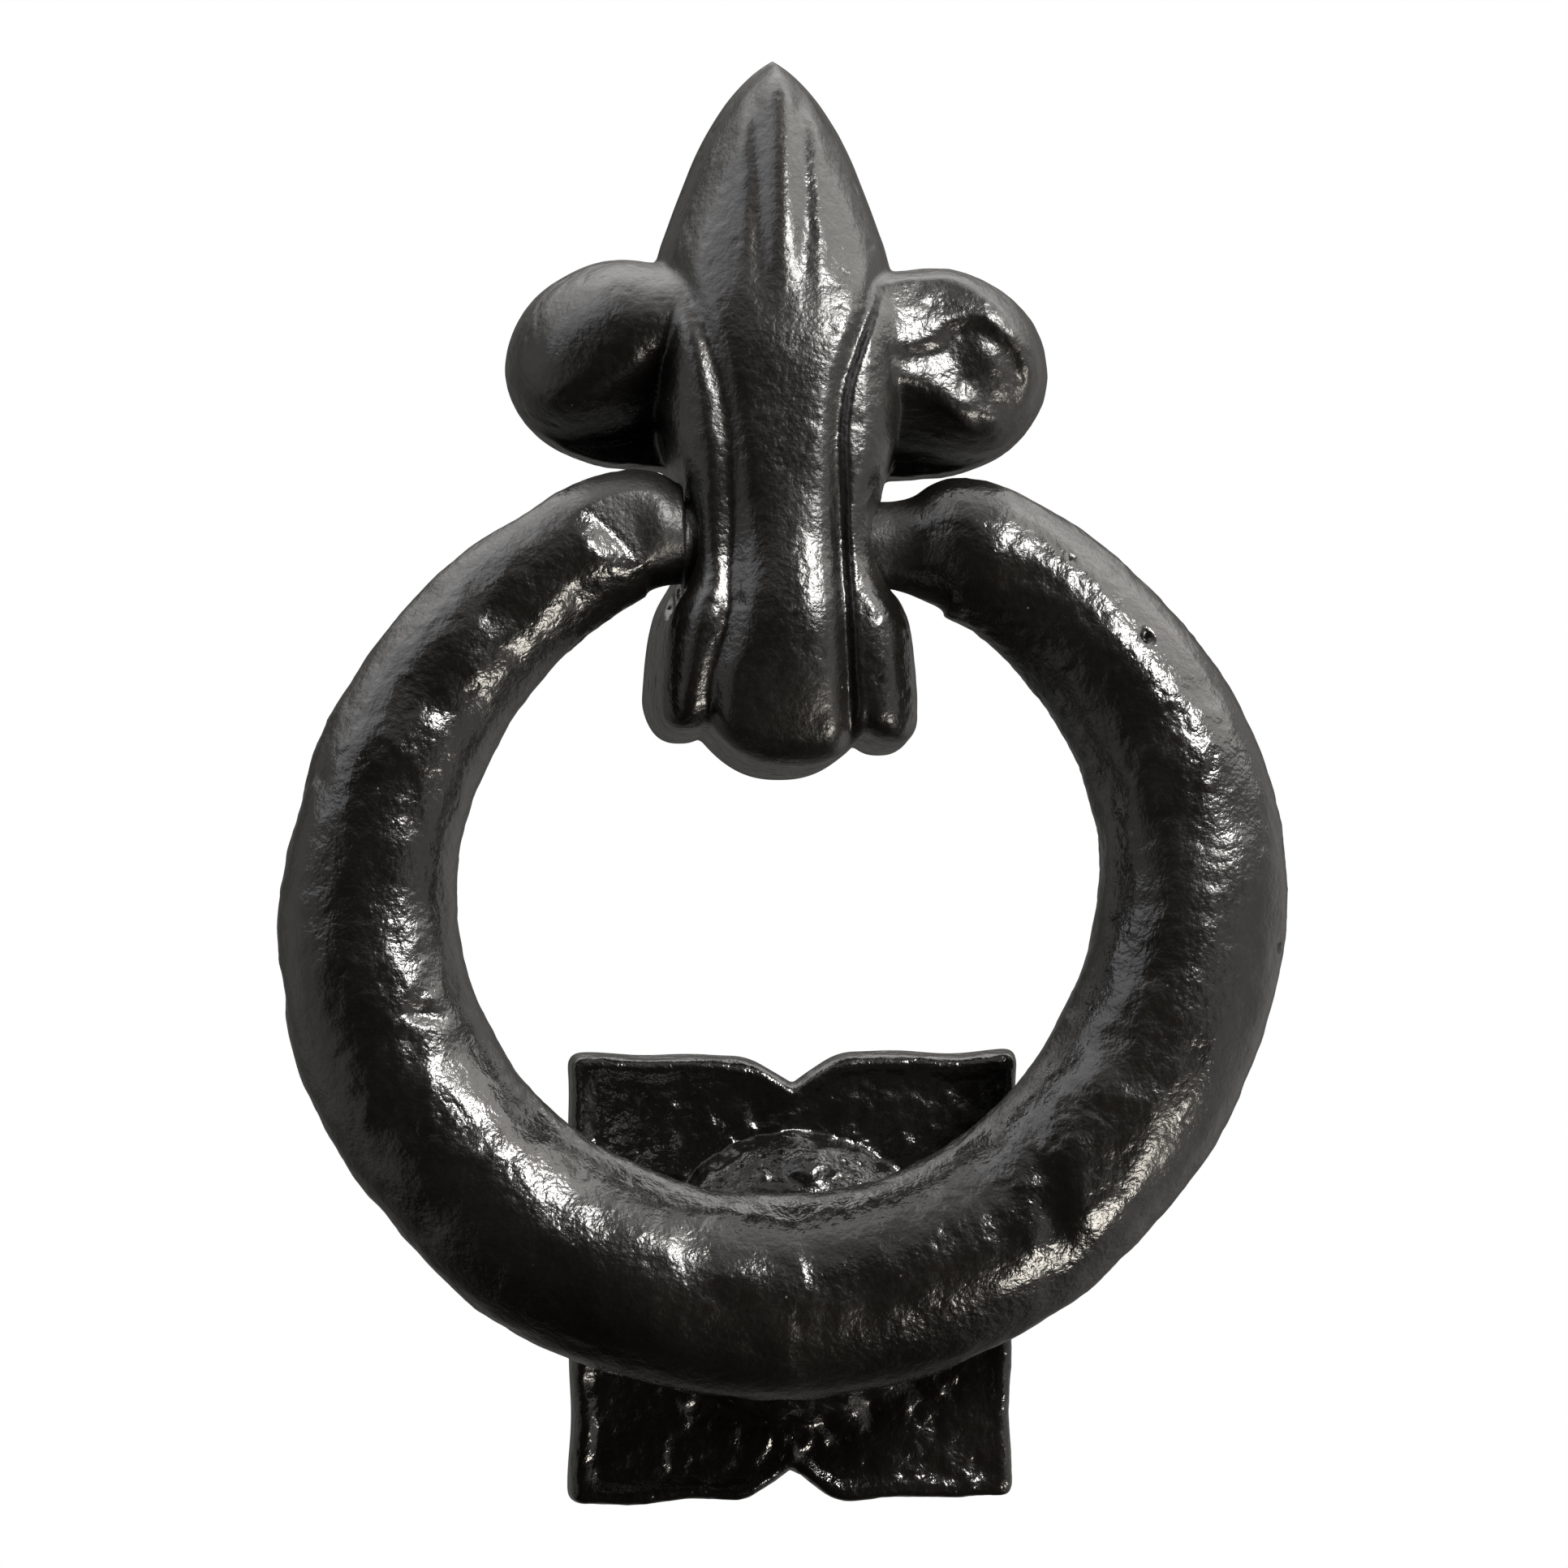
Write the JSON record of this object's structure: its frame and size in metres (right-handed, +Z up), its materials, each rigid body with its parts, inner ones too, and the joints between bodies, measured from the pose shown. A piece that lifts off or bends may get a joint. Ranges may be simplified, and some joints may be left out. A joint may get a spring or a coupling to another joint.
{
  "type": "ring door knocker",
  "caption": "Black cast-iron door knocker: a fleur-de-lis head holding a heavy swinging C-shaped ring over a square notched strike plate, with through-door fixings.",
  "frame": {"origin": "on the head's flat back face (the door's outer face), on the centre line, level with the ring's pivot axis", "axes": "+Z up along the knocker, +Y into the door along the fixings, the knocker faces -Y"},
  "size_m": [0.1264, 0.0953, 0.1857],
  "materials": {
    "black_iron": "black satin paint over a hand-worked casting",
    "zinc_steel": "bright zinc plate"
  },
  "bodies": {
    "fixed": {"fleur_head": "black_iron", "strike_plate": "black_iron", "head_upper_stud": "zinc_steel", "head_upper_washer": "zinc_steel", "head_upper_dome_nut": "zinc_steel", "head_lower_stud": "zinc_steel", "head_lower_washer": "zinc_steel", "head_lower_dome_nut": "zinc_steel", "strike_stud": "zinc_steel", "strike_washer": "zinc_steel", "strike_dome_nut": "zinc_steel"},
    "ring": {"knocker_ring": "black_iron"}
  },
  "joints": [
    {"name": "ring_swing", "type": "hinge", "parent": "fixed", "child": "ring", "pos_m": [0, -0.018, 0], "axis": [-1, 0, 0], "range_deg": [0, 175]}
  ]
}
